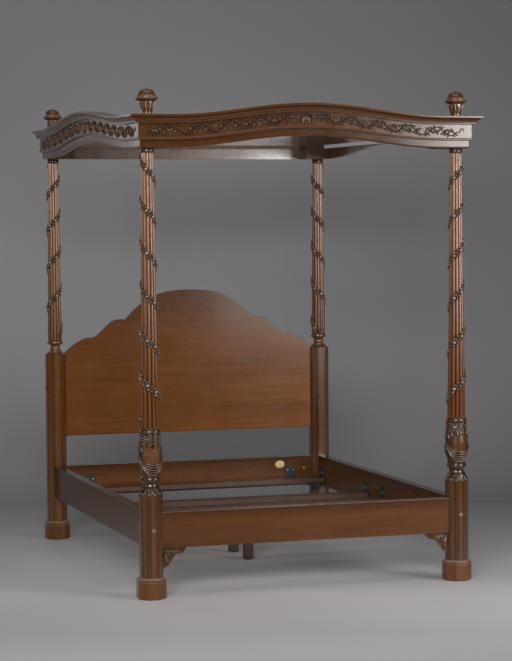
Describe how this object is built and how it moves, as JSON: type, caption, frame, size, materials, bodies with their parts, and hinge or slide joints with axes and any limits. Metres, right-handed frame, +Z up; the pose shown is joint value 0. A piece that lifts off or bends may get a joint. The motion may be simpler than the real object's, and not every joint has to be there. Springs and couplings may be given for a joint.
{
  "type": "four-post tester bed",
  "caption": "Four-post tester bed with reeded, vine-carved posts, an arched headboard, slats on hangers and a serpentine cornice with finials.",
  "frame": {"origin": "on the floor, at the middle of the whole bed's bounding box", "axes": "+X across the bed to the right as seen from the foot, +Y from the foot to the head, +Z up"},
  "size_m": [1.814, 2.275, 2.467],
  "materials": {
    "mahogany": "polished, worn on the edges",
    "dark_mahogany": "satin",
    "slat_wood": "satin",
    "pale_wood": "unpolished, sawn",
    "black_steel": "black paint, worn",
    "bright_steel": "plain",
    "glide_plastic": "matte",
    "brass": "polished"
  },
  "bodies": {
    "bed": {"plinth_foot_left": "mahogany", "plinth_foot_right": "mahogany", "plinth_head_left": "mahogany", "plinth_head_right": "mahogany", "post_foot_left": "mahogany", "post_foot_right": "mahogany", "post_head_left": "mahogany", "post_head_right": "mahogany", "shaft_foot_left": "mahogany", "shaft_foot_right": "mahogany", "shaft_head_left": "mahogany", "shaft_head_right": "mahogany", "post_studs": "bright_steel", "tester_pins": "bright_steel", "rail_foot": "mahogany", "rail_head": "mahogany", "rail_left": "mahogany", "rail_right": "mahogany", "knee_left": "mahogany", "knee_right": "mahogany", "headboard": "mahogany", "bed_bolts": "bright_steel", "barrel_nuts": "bright_steel", "bolt_covers": "dark_mahogany", "slat_foot": "slat_wood", "slat_middle_foot": "slat_wood", "slat_middle_head": "slat_wood", "slat_head": "slat_wood", "leg_foot": "slat_wood", "leg_head": "slat_wood", "leg_studs": "bright_steel", "leg_glides": "glide_plastic", "hangers_left": "black_steel", "hangers_right": "black_steel", "hangers_foot": "black_steel", "hangers_head": "black_steel", "hanger_screws": "bright_steel", "medallion": "brass", "corner_blocks": "dark_mahogany", "tester_board_foot": "mahogany", "tester_board_left": "mahogany", "tester_board_right": "mahogany", "tester_board_head": "mahogany", "frieze_foot": "mahogany", "frieze_left": "mahogany", "frieze_right": "mahogany", "crown_foot": "mahogany", "crown_left": "mahogany", "crown_right": "mahogany", "ledger_strips": "pale_wood"},
    "lift_foot_left": {"finial_foot_left": "mahogany"},
    "lift_foot_right": {"finial_foot_right": "mahogany"},
    "lift_head_left": {"finial_head_left": "mahogany"},
    "lift_head_right": {"finial_head_right": "mahogany"}
  },
  "joints": [
    {"name": "finial_foot_left_slide", "type": "slide", "parent": "bed", "child": "lift_foot_left", "axis": [0, 0, 1], "range_m": [0, 0.056]},
    {"name": "finial_foot_right_slide", "type": "slide", "parent": "bed", "child": "lift_foot_right", "axis": [0, 0, 1], "range_m": [0, 0.056]},
    {"name": "finial_head_left_slide", "type": "slide", "parent": "bed", "child": "lift_head_left", "axis": [0, 0, 1], "range_m": [0, 0.056]},
    {"name": "finial_head_right_slide", "type": "slide", "parent": "bed", "child": "lift_head_right", "axis": [0, 0, 1], "range_m": [0, 0.056]}
  ]
}
